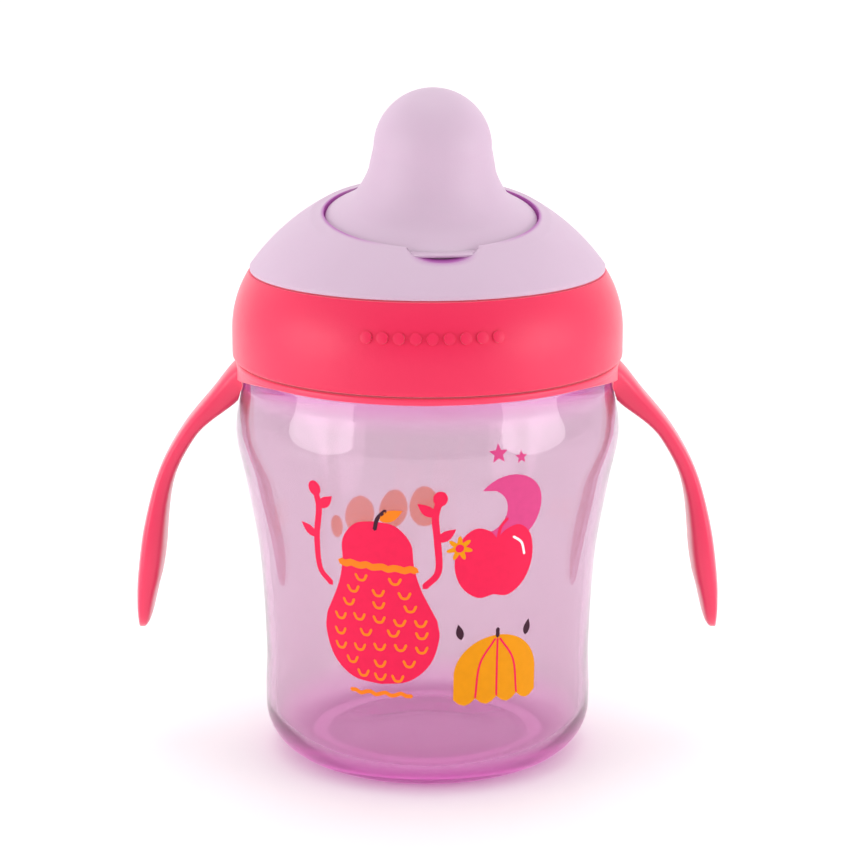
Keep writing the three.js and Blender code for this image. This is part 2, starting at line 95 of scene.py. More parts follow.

# The ring and the collar.
RING_TOP = RING_HIGH.z
RING_R = 36.8
RING_THICK = 1.3
RING_BORE = THREAD_CREST + GAP
HANDLE_REACH = RING_HIGH.x
HANDLE_TIP_Z = RING_LOW.z
END_LENGTH = 11.0  # a grip rounds off over this length
FIRST_POINT = 5  # the points of a handle's line before it lie inside the ring
WEB_REACH = math.radians(44)
WEB_THICK = 0.75
WEB_DROP = 3.4
COLLAR_R = COLLAR_HIGH.x
COLLAR_Z = COLLAR_LOW.z
COLLAR_TOP = COLLAR_HIGH.z
COLLAR_ARC = 20.6
COLLAR_STRAIGHT_Z = 84.0
COLLAR_LIP_R = 30.5
COLLAR_LIP_Z = COLLAR_TOP - 2.2
DOTS = 9
DOT_R = 1.05
DOT_APART = 3.0
DOTS_AT = (1.4, 89.2)  # angle and height of the middle one

# The dome is part of a sphere, and the seat of the cover leans forward in it.
DOME_R = DOME_HIGH.x
DOME_Z = COLLAR_TOP + GAP
DOME_RIM = 0.7
DOME_SPHERE = 41.8
DOME_SKIRT_R = 30.2
DOME_WALL = 2.0
FLANGE_R = 31.8
FLANGE_Z = DOME_LOW.z
FLANGE = 1.1
SPHERE_Z = DOME_Z + DOME_RIM - math.sqrt(DOME_SPHERE**2 - DOME_R**2)
COVER_R = 19.9
COVER_WALL = 1.6
COVER_NECK_R = 11.0
COVER_LENGTH = 24.5
SEAT_R = COVER_R + GAP
SEAT_RIM = math.sqrt(DOME_SPHERE**2 - SEAT_R**2)
COVER_RIM = SEAT_RIM - 1.2
SEAT = COVER_RIM - 1.8
SEAT_PLATE = 2.0
BOSS_R = 17.4
BOSS_WALL = 1.4
SPOUT_BORE = 5.8
SPOUT_HOLE = 7.9
SPOUT_FLANGE_R = SPOUT_HOLE + 3.2
VENT_R = 1.1
VENT_HEAD_R = 1.9
TAB_W = 11.6
TAB_REACH = 0.8
HOLE_TILT = 1.0  # how much lower the seat's edge lies at the back than at the front

LID = Matrix.Rotation(math.radians(6), 4, "Z") @ Matrix.Translation((0, 0, SPHERE_Z))
LEAN = Matrix.Rotation(math.radians(11), 4, "X")
SEATED = LID @ LEAN


# ------------------------------------------------------------------------- outlines


def smooth_line(through, per_span):
    """A rounded line through points in a plane, as Catmull and Rom draw it."""
    first = [2 * a - b for a, b in zip(through[0], through[1])]
    last = [2 * a - b for a, b in zip(through[-1], through[-2])]
    knots = [Vector(p) for p in (first, *through, last)]
    line = []
    for before, a, b, after in zip(knots, knots[1:], knots[2:], knots[3:]):
        for i in range(per_span):
            t = i / per_span
            pull = (b - before) * t + (2 * before - 5 * a + 4 * b - after) * t**2
            pull += (3 * a - before - 3 * b + after) * t**3
            line.append(a + pull / 2)
    line.append(Vector(through[-1]))
    return [tuple(p) for p in line]


def arc(across, up, radius, start, stop, steps):
    """Points on a circle, from one angle in degrees to another."""
    angles = (math.radians(start + (stop - start) * i / steps) for i in range(steps + 1))
    return [(across + radius * math.cos(a), up + radius * math.sin(a)) for a in angles]


def eased(corners, steps=3):
    """An outline whose corners, given as (across, up, radius), are rounded off."""
    line = []
    for i, (x, y, radius) in enumerate(corners):
        here = Vector((x, y))
        if radius == 0 or i in (0, len(corners) - 1):
            line.append(tuple(here))
            continue
        back = (Vector(corners[i - 1][:2]) - here).normalized() * radius
        on = (Vector(corners[i + 1][:2]) - here).normalized() * radius
        for k in range(steps + 1):
            t = k / steps
            line.append(tuple(here + back * (1 - t) ** 2 + on * t**2))
    return line


def mirrored(half):
    """A closed outline from its right half, listed from the top down."""
    return half + [(-x, y) for x, y in reversed(half) if x > 1e-6]


def stroke(through, width, per_span=6):
    """The outline of a pen line of even width with round ends."""
    line = [Vector(p) for p in smooth_line(through, per_span)]
    left, right = [], []
    for i, here in enumerate(line):
        along = (line[min(i + 1, len(line) - 1)] - line[max(i - 1, 0)]).normalized()
        side = Vector((-along.y, along.x)) * width / 2
        left.append(here + side)
        right.append(here - side)
    tip = line[-1] + (line[-1] - line[-2]).normalized() * width * 0.45
    tail = line[0] + (line[0] - line[1]).normalized() * width * 0.45
    return [tuple(p) for p in (*left, tip, *reversed(right), tail)]


# ------------------------------------------------------------------------- meshes


def closed(bm):
    """Merges doubles and turns every face outwards."""
    bmesh.ops.remove_doubles(bm, verts=bm.verts, dist=1e-4)
    bmesh.ops.recalc_face_normals(bm, faces=bm.faces)
    return bm


def spun(outline, place=Matrix(), steps=STEPS):
    """A solid turned about its own Z. An outline that stays off the axis is closed."""
    bm = bmesh.new()
    verts = [bm.verts.new((r, 0, z)) for r, z in outline]
    edges = [bm.edges.new(pair) for pair in zip(verts, verts[1:])]
    if outline[0][0] > 0:
        edges.append(bm.edges.new((verts[-1], verts[0])))
    bmesh.ops.spin(
        bm,
        geom=verts + edges,
        axis=(0, 0, 1),
        cent=(0, 0, 0),
        angle=math.tau,
        steps=steps,
        use_merge=True,
    )
    closed(bm)
    bm.transform(place)
    return bm


def added(bm, other):
    """Puts a second mesh into the first one."""
    mesh = bpy.data.meshes.new("joined")
    other.to_mesh(mesh)
    other.free()
    bm.from_mesh(mesh)
    bpy.data.meshes.remove(mesh)
    return bm


def softened(bm, width, angle=32, segments=2):
    """Rounds off every edge that turns more than an angle in degrees."""
    sharp = [e for e in bm.edges if e.is_manifold and e.calc_face_angle() > math.radians(angle)]
    bmesh.ops.bevel(
        bm,
        geom=sharp,
        offset=width,
        segments=segments,
        profile=0.5,
        affect="EDGES",
        clamp_overlap=True,
        material=-1,
    )
    return bm


def handed_over(name, bm, body, material, nodes=()):
    """Makes the piece's object, in metres, and tells the frame about it."""
    bm.transform(Matrix.Scale(0.001, 4))
    mesh = bpy.data.meshes.new(name)
    bm.to_mesh(mesh)
    bm.free()
    mesh.materials.append(material)
    mesh.shade_smooth()
    mesh.set_sharp_from_angle(angle=math.radians(40))
    piece = bpy.data.objects.new(name, mesh)
    bpy.context.scene.collection.objects.link(piece)
    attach(piece, body)
    if nodes:
        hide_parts(*nodes)
    return piece


# ------------------------------------------------------------------------- shader sums


class Value:
    """A socket that can be used in sums; numbers and other values mix freely."""

    def __init__(self, nodes, socket):
        self.nodes = nodes
        self.socket = socket

    def _sum(self, operation, *operands):
        return self.nodes.add("ShaderNodeMath", {"operation": operation}, dict(enumerate(operands)))

    def __add__(self, other):
        return self._sum("ADD", self, other)

    __radd__ = __add__

    def __sub__(self, other):
        return self._sum("SUBTRACT", self, other)

    def __rsub__(self, other):
        return self._sum("SUBTRACT", other, self)

    def __mul__(self, other):
        return self._sum("MULTIPLY", self, other)

    __rmul__ = __mul__

    def __pow__(self, other):
        return self._sum("POWER", self, other)

    def __abs__(self):
        return self._sum("ABSOLUTE", self)


class Nodes:
    """A node tree with one way to add a node and wire it."""

    def __init__(self, tree):
        self.tree = tree
        tree.nodes.clear()

    def add(self, kind, settings=None, sockets=None, output=0):
        node = self.tree.nodes.new(kind)
        for name, value in (settings or {}).items():
            setattr(node, name, value)
        for name, value in (sockets or {}).items():
            self.wire(node, name, value)
        return Value(self, node.outputs[output])

    def wire(self, node, name, value):
        if isinstance(value, Value):
            self.tree.links.new(value.socket, node.inputs[name])
        else:
            node.inputs[name].default_value = value

    def noise(self, size, detail=2.0):
        """Noise on the object's own place, with blotches of about a size in millimetres."""
        place = self.add("ShaderNodeTexCoord", output="Object")
        sockets = {"Vector": place, "Scale": 1000 / size, "Detail": detail}
        return self.add("ShaderNodeTexNoise", {}, sockets)

    def between(self, share, low, high):
        """A colour between two, by a share."""
        node = self.tree.nodes.new("ShaderNodeMix")
        node.data_type = "RGBA"
        self.wire(node, 0, share)
        self.wire(node, 6, low)
        self.wire(node, 7, high)
        return Value(self, node.outputs[2])

    def place(self, matrix=Matrix()):
        """The three coordinates of a point, in millimetres, as a placed piece sees them."""
        back = matrix.inverted()
        seen = self.add(
            "ShaderNodeMapping",
            {},
            {
                "Vector": self.add("ShaderNodeTexCoord", output="Object"),
                "Location": back.to_translation(),
                "Rotation": back.to_euler(),
                "Scale": (1000, 1000, 1000),
            },
        )
        return self.apart(seen)

    def apart(self, vector):
        """The three coordinates of a vector."""
        node = self.tree.nodes.new("ShaderNodeSeparateXYZ")
        self.wire(node, 0, vector)
        return [Value(self, output) for output in node.outputs]

    def fade(self, value, none, full):
        """A share that eases from 0 to 1 between two readings of a value."""
        ends = {"From Min": none, "From Max": full, "To Min": 0.0, "To Max": 1.0}
        eased = {"interpolation_type": "SMOOTHSTEP"}
        return self.add("ShaderNodeMapRange", eased, {0: value, **ends})

    def bump(self, height, depth):
        """A normal from a height in millimetres."""
        sockets = {"Height": height, "Distance": depth / 1000, "Strength": 1.0}
        return self.add("ShaderNodeBump", {}, sockets)

    def finish(self, sockets, volume=None):
        """The surface shader and the output."""
        surface = self.add("ShaderNodeBsdfPrincipled", {}, sockets)
        ends = {"Surface": surface}
        if volume:
            ends["Volume"] = volume
        self.add_output(ends)

    def add_output(self, ends):
        node = self.tree.nodes.new("ShaderNodeOutputMaterial")
        for name, value in ends.items():
            self.wire(node, name, value)


def material_nodes(name):
    """A new material and its empty node tree."""
    made = bpy.data.materials.new(name)
    made.use_nodes = True
    return made, Nodes(made.node_tree)


def scaled(colour, by):
    """A colour made lighter or darker, kept within range."""
    return (*(min(1.0, c * by) for c in colour[:3]), 1.0)


def moulded(name, colour, roughness, grain, sheen=0.0, subsurface=0.0, painted_seam=None, through=(0, 0, 0)):
    """Coloured moulded plastic: flow marks, a fine spark-eroded grain and a little rubbing.

    A painted seam is (share, painted shade, glow): the share of a point that lies in it, the colour
    painted there as shade, and a painted glow that stands in for light gathering in it. The through
    colour is a painted glow over the whole piece, standing in for light that thin plastic lets through.
    """
    made, nodes = material_nodes(name)
    flow = nodes.noise(22, 3)
    grain_height = nodes.noise(0.35, 2)
    rubbed = nodes.noise(3.2, 4)
    base = nodes.between(flow, scaled(colour, 0.955), scaled(colour, 1.045))
    # light is a painted glow; in a painted seam, its painted shade colour and glow take over.
    light = (*through, 1)
    if painted_seam:
        share_of, painted_shade, glow = painted_seam
        share = share_of(nodes)
        base = nodes.between(share, base, painted_shade)
        light = nodes.between(share, light, glow)
    nodes.finish(
        {
            "Base Color": base,
            "Emission Color": light,
            "Emission Strength": 1.0,
            "Roughness": rubbed * 0.12 + (roughness - 0.06) + grain_height * 0.04,
            "Normal": nodes.bump(grain_height + flow * 2, grain),
            "Sheen Weight": sheen,
            "Sheen Roughness": 0.35,
            "Subsurface Weight": subsurface,
            "Subsurface Radius": (1.0, 0.6, 0.8),
            "Subsurface Scale": 0.002,
            "IOR": 1.49,
        }
    )
    return made


def clear_plastic(name, tint, depth_tint, density, painted_base_glow):
    """Clear tinted plastic, whose colour deepens with the length of plastic looked through.

    The thick base and the wall just under the ledge get a painted glow that stands in for the light
    gathered from the walls.
    """
    made, nodes = material_nodes(name)
    ripple = nodes.noise(26, 1)
    scuffs = nodes.noise(1.4, 3)
    absorbing = nodes.add(
        "ShaderNodeVolumeAbsorption", {}, {"Color": depth_tint, "Density": density}
    )
    height = nodes.place()[2]
    # Painted glow: low marks the thick base and high the wall just under the ledge, where shade falls.
    low = nodes.fade(height, CUP_CORNER, 2)
    high = nodes.fade(height, LEDGE_PAINTED_GLOW_Z, CUP_LEDGE_Z)
    high = high * nodes.fade(height, CUP_LEDGE_Z + 1.5, CUP_LEDGE_Z)
    nodes.finish(
        {
            "Emission Color": nodes.between(low + high * 0.9, (0, 0, 0, 1), painted_base_glow),
            "Emission Strength": 1.0,
            "Base Color": nodes.between(ripple, scaled(tint, 0.99), scaled(tint, 1.0)),
            "Roughness": scuffs * 0.05 + 0.02,
            "Normal": nodes.bump(ripple, 0.25),
            "Transmission Weight": 0.92,
            "IOR": 1.45,
        },
        absorbing,
    )
    return made


def ink(name, colour, painted_backlight):
    """Screen-printed ink, a little uneven where it was laid.

    Its inner side, seen through the clear wall, has a painted glow that stands in for the light coming
    through it.
    """
    made, nodes = material_nodes(name)
    laid = nodes.noise(1.6, 4)
    x, y, _ = nodes.place()
    facing_x, facing_y, _ = nodes.apart(nodes.add("ShaderNodeTexCoord", output="Normal"))
    outwards = x * facing_x + y * facing_y
    # inner is the share of the ink's inner side, which gets the painted glow.
    inner = nodes.fade(outwards, 0, -10)
    nodes.finish(
        {
            "Base Color": nodes.between(laid, scaled(colour, 0.93), scaled(colour, 1.07)),
            "Emission Color": nodes.between(inner, (0, 0, 0, 1), scaled(colour, painted_backlight)),
            "Emission Strength": 1.0,
            "Roughness": laid * 0.15 + 0.3,
            "Normal": nodes.bump(laid, 0.02),
            "Specular IOR Level": 0.12,
        }
    )
    return made


def silicone(name, colour):
    """Milky soft silicone."""
    made, nodes = material_nodes(name)
    cloud = nodes.noise(5, 3)
    dust = nodes.noise(0.5, 2)
    nodes.finish(
        {
            "Base Color": nodes.between(cloud, scaled(colour, 0.95), scaled(colour, 1.03)),
            "Roughness": dust * 0.12 + 0.38,
            "Normal": nodes.bump(dust, 0.03),
            "Subsurface Weight": 0.6,
            "Subsurface Radius": (1.0, 0.9, 0.85),
            "Subsurface Scale": 0.003,
            "IOR": 1.41,
        }
    )
    return made


# ------------------------------------------------------------------------- settings


def colour_setting(name, description, value):
    return bpy.props.FloatVectorProperty(
        name=name,
        description=description,
        subtype="COLOR",
        size=4,
        min=0,
        max=1,
        default=(*value, 1.0),
    )


def length_setting(name, description, millimetres):
    return bpy.props.FloatProperty(
        name=name,
        description=description,
        subtype="DISTANCE",
        unit="LENGTH",
        default=millimetres / 1000,
    )


class CupSettings(bpy.types.PropertyGroup):
    """The clear cup."""

    wall: length_setting("Wall", "Thickness of the side wall", 1.8)
    floor: length_setting("Floor", "Thickness of the base", 3.0)
    tint: colour_setting("Tint", "Colour of the surface", (0.885, 0.87, 0.86))
    depth_tint: colour_setting("Depth tint", "Colour that deepens with thickness", (0.70, 0.17, 0.59))
    # Glow is painted: emission in the base and under the ledge that stands in for light gathered from the
    # walls.
    glow: colour_setting("Glow", "Light gathered in the base", (0.12, 0.004, 0.09))
    density: bpy.props.FloatProperty(
        name="Density", description="How fast the plastic takes on colour", default=185.0
    )


class ColourSettings(bpy.types.PropertyGroup):
    """The coloured plastics and the inks."""

    coral: colour_setting("Coral", "Handles and collar", (0.81, 0.010, 0.078))
    lilac: colour_setting("Lilac", "Dome and cover", (0.615, 0.45, 0.58))
    silicone: colour_setting("Silicone", "Spout, valve, vent and gasket", (0.86, 0.83, 0.80))
    red_ink: colour_setting("Red ink", "Pear and apple", (0.84, 0.016, 0.080))
    orange_ink: colour_setting("Orange ink", "Pips and band", (0.92, 0.22, 0.012))
    yellow_ink: colour_setting("Yellow ink", "Umbrella and flower", (0.80, 0.30, 0.002))
    pink_ink: colour_setting("Pink ink", "Moon and stars", (0.68, 0.065, 0.235))
    salmon_ink: colour_setting("Salmon ink", "Pebbles on the back", (1.0, 0.30, 0.15))
    dark_ink: colour_setting("Dark ink", "Stalks and drops", (0.05, 0.015, 0.03))
    white_ink: colour_setting("White ink", "Shine on the apple", (0.9, 0.9, 0.9))


class HandleSettings(bpy.types.PropertyGroup):
    """The two handles."""

    thickness: length_setting("Thickness", "Thickness of a handle", 3.15)
    stem_width: length_setting("Stem width", "Width of a handle under the ring", 9.4)
    grip_width: length_setting("Grip width", "Width of the grip", 13.5)
    swell: length_setting("Swell", "How far the grip's inner face bulges", 1.6)


# ------------------------------------------------------------------------- the cup


def cup_side():
    """The outside of the cup, from under its rounded corner up to the ledge."""
    corner = arc(CUP_FOOT_R - CUP_CORNER, CUP_CORNER, CUP_CORNER, -90, 0, 12)
    side = smooth_line(
        [
            (CUP_FOOT_R, CUP_CORNER + 4),
            (CUP_WAIST_R, 22),
            (CUP_WAIST_R + 1, 39.6),
            (CUP_SHOULDER_R - 1.75, 54.2),
            (CUP_SHOULDER_R - 0.1, 62.3),
            (CUP_SHOULDER_R - 0.1, 67),
            (CUP_LEDGE_R + 0.7, 72),
            (CUP_LEDGE_R, CUP_LEDGE_Z - 0.6),
        ],
        7,
    )
    return corner + side


def side_radius(z):
    """The radius of the cup's outside at a height."""
    line = cup_side()
    for (r0, z0), (r1, z1) in zip(line, line[1:]):
        if z0 <= z <= z1:
            return r0 + (r1 - r0) * (z - z0) / max(z1 - z0, 1e-6)
    return line[-1][0]


def thread_rib(root, crest, start_angle, start_z):
    """One rib of a screw thread, swept up a helix."""
    bm = bmesh.new()
    corners = [(root, -0.75), (crest, -0.4), (crest, 0.4), (root, 0.75)]
    verts = [bm.verts.new((r, 0, start_z + z)) for r, z in corners]
    face = bm.faces.new(verts)
    steps = 30
    bmesh.ops.spin(
        bm,
        geom=[face],
        axis=(0, 0, 1),
        cent=(0, 0, 0),
        dvec=(0, 0, THREAD_LEAD * THREAD_SPAN / math.tau / steps),
        angle=THREAD_SPAN,
        steps=steps,
        use_merge=False,
    )
    bm.transform(Matrix.Rotation(start_angle, 4, "Z"))
    return closed(bm)


class TRAINING_CUP_OT_body(bpy.types.Operator):
    """Make the clear cup with its screw neck"""

    bl_idname = "training_cup.body"
    bl_label = "Clear Cup"

    def execute(self, context):
        settings = context.scene.training_cup_cup
        wall = settings.wall * 1000
        floor = settings.floor * 1000
        outside = cup_side()
        inside = [(r - wall, z) for r, z in outside if CUP_CORNER < z < CUP_LEDGE_Z - 3]
        inner_corner = CUP_CORNER - floor + 1
        outline = smooth_line([(0, CUP_RECESS), (9, 0.7), (15, 0.33), (20, 0)], 5)
        outline += outside
        outline += eased(
            [
                (CUP_LEDGE_R, CUP_LEDGE_Z - 0.6, 0),
                (CUP_LEDGE_R - 0.1, CUP_LEDGE_Z, 0.3),
                (NECK_R, CUP_LEDGE_Z, 0.3),
                (NECK_R, CUP_RIM_Z, 0.6),
                (MOUTH_R, CUP_RIM_Z, 0.6),
                (MOUTH_R, CUP_LEDGE_Z + 1, 0.8),
                inside[-1] + (0,),
            ]
        )[1:]
        outline += reversed(inside[:-1])
        outline += arc(
            CUP_FOOT_R - wall - inner_corner, floor + inner_corner, inner_corner, 0, -90, 10
        )
        outline.append((0, floor))
        bm = spun(outline)
        for i in range(THREAD_STARTS):
            turn = i * math.tau / THREAD_STARTS
            added(bm, thread_rib(NECK_R - 0.05, THREAD_CREST, turn, THREAD_Z))
        plastic = clear_plastic(
            "clear_lilac", settings.tint, settings.depth_tint, settings.density, settings.glow
        )
        handed_over("clear_cup", bm, "cup", plastic, ["cup_body"])
        return {"FINISHED"}


# ------------------------------------------------------------------------- the print


def wrapped(outline, angle, height, radius_at, lift, thickness, cell=1.2):
    """A flat shape laid round a wall.

    The outline is [across, up] in millimetres from a centre at an angle in degrees from the
    front and a height. Cuts every cell let it bend, and it stands lift off the wall.
    """
    bm = bmesh.new()
    verts = [bm.verts.new((x, 0, y)) for x, y in outline]
    bm.faces.new(verts)
    low = [min(p[i] for p in outline) for i in (0, 1)]
    high = [max(p[i] for p in outline) for i in (0, 1)]
    for axis, normal in ((0, (1, 0, 0)), (1, (0, 0, 1))):
        count = int((high[axis] - low[axis]) / (cell * (1 + axis)))
        for k in range(1, count + 1):
            at = low[axis] + (high[axis] - low[axis]) * k / (count + 1)
            place = (at, 0, 0) if axis == 0 else (0, 0, at)
            everything = bm.verts[:] + bm.edges[:] + bm.faces[:]
            bmesh.ops.bisect_plane(bm, geom=everything, dist=1e-5, plane_co=place, plane_no=normal)
    bmesh.ops.triangulate(bm, faces=bm.faces)
    round_r = radius_at(height)
    for v in bm.verts:
        turn = math.radians(angle) + v.co.x / round_r
        z = height + v.co.z
        r = radius_at(z) + lift
        v.co = (r * math.sin(turn), -r * math.cos(turn), z)
    bmesh.ops.recalc_face_normals(bm, faces=bm.faces)
    middle = sum((f.normal.dot(f.calc_center_median() * Vector((1, 1, 0))) for f in bm.faces))
    if middle < 0:
        bmesh.ops.reverse_faces(bm, faces=bm.faces)
    bmesh.ops.solidify(bm, geom=bm.faces[:], thickness=-thickness)
    return bm


def pear():
    neck = [(0, 17.2), (3.6, 16.4), (6.2, 13), (6.7, 8.4), (8.0, 3.6), (10.9, -2.4)]
    belly = [(10.9, -2.4), (11.3, -6), (9.6, -11), (5.6, -14.4), (0, -15.3)]
    return mirrored(smooth_line(neck, 5)[:-1] + smooth_line(belly, 5))


def moved(outline, across, up):
    return [(x + across, y + up) for x, y in outline]


def leaning(outline, lean):
    """An outline turned to the left about the origin, by an angle in degrees."""
    c, s = math.cos(math.radians(lean)), math.sin(math.radians(lean))
    return [(x * c - y * s, x * s + y * c) for x, y in outline]


def leaf(length, width, lean):
    """A pointed leaf whose foot is at the origin."""
    shares = (0, 0.15, 0.35, 0.55, 0.75, 0.9, 1)
    half = [(width / 2 * math.sin(math.pi * t**0.8), length * t) for t in shares]
    return leaning(half + [(-x, y) for x, y in reversed(half[1:-1])], lean)


def oval(wide, high, lean=0):
    return leaning([(x * wide, y * high) for x, y in arc(0, 0, 1, 0, 350, 35)], lean)


def crescent(radius, bite, shift):
    """A moon that opens to the left."""
    meet = math.degrees(math.acos((radius**2 + shift**2 - bite**2) / (2 * radius * shift)))
    inner = math.degrees(math.asin(radius * math.sin(math.radians(meet)) / bite))
    outer_line = arc(0, 0, radius, 180 - meet, meet - 180, 30)
    inner_line = arc(-shift, 0, bite, -inner, inner, 16)
    return outer_line + inner_line[1:-1]


def rayed(radii):
    """An outline from its distances from the middle, taken clockwise from the top."""
    turns = [math.tau * k / len(radii) for k in range(len(radii))]
    return [(r * math.sin(a), r * math.cos(a)) for r, a in zip(radii, turns)]


def star(radius, points=5, waist=0.45):
    return rayed([radius, radius * waist] * points)


def blossom(radius, petals):
    """A flower, with ten points to a petal."""
    waves = (math.cos(math.tau * k / 10) for k in range(petals * 10))
    return rayed([radius * (0.74 + 0.26 * wave) for wave in waves])


def apple():
    shoulder = [(0, 4.6), (1.6, 6.3), (4.3, 6.9), (6.9, 4.4)]
    side = [(7.8, -0.4), (6.4, -4.6), (3.2, -7), (0, -6.6)]
    return mirrored(smooth_line(shoulder + side, 4))


def umbrella(half_width, top, scallops):
    """A dome with a scalloped lower edge."""
    over = [
        (half_width * math.cos(math.radians(a)), top * math.sin(math.radians(a)))
        for a in range(4, 177, 8)
    ]
    step = 2 * half_width / scallops
    under = [
        (-half_width + step * (k + t), -4.2 - 1.3 * math.sin(math.pi * t))
        for k in range(scallops)
        for t in (0, 0.25, 0.5, 0.75)
    ]
    return over + under + [(half_width, -4.2)]


def pips():
    """The places of the pear's pips, in staggered rows that follow its outline."""
    for row, half_width in enumerate((5.4, 6.6, 8.0, 9.2, 9.9, 9.4, 7.6, 4.6)):
        count = int(half_width / 2.2) + row % 2
        for k in range(count):
            across = (k - (count - 1) / 2) * 2 * half_width / max(count - 0.3, 1)
            yield across, 5.6 - 2.75 * row + 0.35 * math.sin(5 * k + row)


def printed_shapes():
    """Each printed shape: ink, angle, height, layer and outline."""
    pear_at = (-15.9, 37.6)
    yield "red_ink", *pear_at, 0, pear()
    for across, up in pips():
        smile = [(-1.05, 0.55), (-0.5, -0.45), (0.5, -0.45), (1.05, 0.55)]
        yield "orange_ink", *pear_at, 1, moved(stroke(smile, 0.5, 3), across, up)
    wave = [(x, 8.0 + 0.22 * math.sin(2.3 * x) - 0.05 * x) for x in range(-7, 8)]
    yield "orange_ink", *pear_at, 1, stroke(wave, 1.35, 2)
    ground = [(x, -17.2 + 0.3 * math.sin(2 * x)) for x in range(-6, 7)]
    yield "orange_ink", *pear_at, 0, stroke(ground, 0.8, 2)
    yield "dark_ink", *pear_at, 1, stroke([(0, 15.6), (0.6, 17.8), (2.0, 19.4)], 0.7)
    yield "orange_ink", *pear_at, 1, moved(leaf(4.6, 2.2, -62), 0.9, 17.4)
    left = [(-9.6, 3.6), (-11.8, 6.4), (-11.6, 12.5), (-10.3, 18.6), (-10.6, 22.4)]
    right = [(8.6, 4.4), (11.0, 7.4), (10.8, 13.4), (10.4, 18.4), (11.2, 22)]
    for stem, side in ((left, 1), (right, -1)):
        yield "red_ink", *pear_at, 0, stroke(stem, 1.25)
        for k, up in enumerate((3, 2)):
            foot = stem[up]
            lean = side * (52 if k % 2 else -48)
            yield "red_ink", *pear_at, 0, moved(leaf(4.0, 2.0, lean), *foot)
        yield "red_ink", *pear_at, 1, moved(oval(1.2, 1.5), *stem[-1])
    yield "pink_ink", 24.6, 56.6, 0, crescent(6.9, 4.3, 4.6)
    yield "pink_ink", 20.4, 67.6, 0, star(1.9)
    yield "pink_ink", 27.4, 66.6, 0, star(1.3)
    apple_at = (21.6, 46.4)
    yield "red_ink", *apple_at, 1, apple()
    yield "red_ink", *apple_at, 1, stroke([(0.1, 4.5), (0.5, 6.9), (1.6, 8.4)], 0.6)
    shine = [(3.2, 4.6), (5.0, 3.2), (5.9, 0.8)]
    yield "white_ink", *apple_at, 2, stroke(shine, 0.45)
    yield "yellow_ink", 9.8, 49.6, 2, blossom(2.5, 7)
    yield "red_ink", 9.8, 49.6, 3, oval(0.8, 0.8)
    umbrella_at = (23.8, 23.6)
    yield "yellow_ink", *umbrella_at, 0, umbrella(8.5, 8.0, 4)
    for across in (-4.25, 0, 4.25):
        rib = [(across * 0.12, 7.2), (across * 0.8, 2.6), (across, -4.0)]
        yield "red_ink", *umbrella_at, 1, stroke(rib, 0.4)
    yield "dark_ink", *umbrella_at, 1, stroke([(0, 7.7), (0, 9.2)], 0.7)
    for angle, height in ((11.2, 31.2), (34.4, 30.6)):
        yield "dark_ink", angle, height, 0, leaf(3.2, 1.5, 12 if angle < 20 else -12)
    yield "salmon_ink", 206.6, 38.4, 0, oval(3.5, 3.8, 12)
    yield "salmon_ink", 193.0, 38.8, 0, oval(3.1, 3.9, 16)
    yield "salmon_ink", 181.1, 39.0, 0, oval(3.3, 4.0)
    yield "salmon_ink", 216.6, 36.8, 0, oval(1.5, 2.4, -8)


class TRAINING_CUP_OT_print(bpy.types.Operator):
    """Print the fruit, the moon and the umbrella on the cup"""

    bl_idname = "training_cup.print"
    bl_label = "Printed Shapes"

    def execute(self, context):
        colours = context.scene.training_cup_colours
        by_ink = {}
        for ink_name, angle, height, layer, outline in printed_shapes():
            lift = 0.03 + 0.035 * layer
            shape = wrapped(outline, angle, height, side_radius, lift, 0.02)
            if ink_name in by_ink:
                added(by_ink[ink_name], shape)
            else:
                by_ink[ink_name] = shape
        for ink_name, bm in by_ink.items():
            colour = getattr(colours, ink_name)
            name = "print_" + ink_name.removesuffix("_ink")
            # Painted backlight: how strongly each ink's inner side glows.
            painted_backlight = 0.95 if ink_name == "salmon_ink" else 0.75
            handed_over(name, bm, "cup", ink(ink_name, colour, painted_backlight))
        return {"FINISHED"}


# ------------------------------------------------------------------------- the handle ring


def handle_line():
    """The outer face of a handle, [out, up], from under the collar to its tip."""
    return smooth_line(
        [
            (RING_R - 2.2, RING_TOP - 0.4),
            (RING_R + 0.6, RING_TOP - 1.3),
            (HANDLE_REACH - 15.2, RING_TOP - 6.7),
            (HANDLE_REACH - 9.4, RING_TOP - 13.9),
            (HANDLE_REACH - 4.8, RING_TOP - 22.3),
            (HANDLE_REACH - 1.8, RING_TOP - 32.8),
            (HANDLE_REACH - 0.35, RING_TOP - 42.5),
            (HANDLE_REACH, RING_TOP - 49),
            (HANDLE_REACH - 0.1, HANDLE_TIP_Z),
        ],
        7,
    )


def grip_share(z):
    """How far a handle has widened into its grip at a height, from 0 to 1."""
    start, full = RING_TOP - 20, RING_TOP - 42
    t = min(max((start - z) / (start - full), 0), 1)
    return t * t * (3 - 2 * t)


def handle_section(settings, i, z):
    """The width and thickness of a handle at a point of its line."""
    stem = settings.stem_width * 1000
    grip = settings.grip_width * 1000
    width = stem + (grip - stem) * grip_share(z)
    thick = settings.thickness * 1000
    thick += settings.swell * 1000 * math.exp(-(((z - HANDLE_TIP_Z - 16) / 11) ** 2))
    near_ring = min(max((21 - i) / 12, 0), 1)
    near_ring = near_ring * near_ring * (3 - 2 * near_ring)
    depth = z - HANDLE_TIP_Z
    if depth < END_LENGTH:
        t = 1 - depth / END_LENGTH
        width *= math.sqrt(max(1 - t**2.4, 0.0025))
        thick = (thick - 0.9 * t) * math.sqrt(max(1 - t**7, 0.01))
    return width + 10 * max(1 - i / 14, 0) ** 2, thick + 2.5 * near_ring


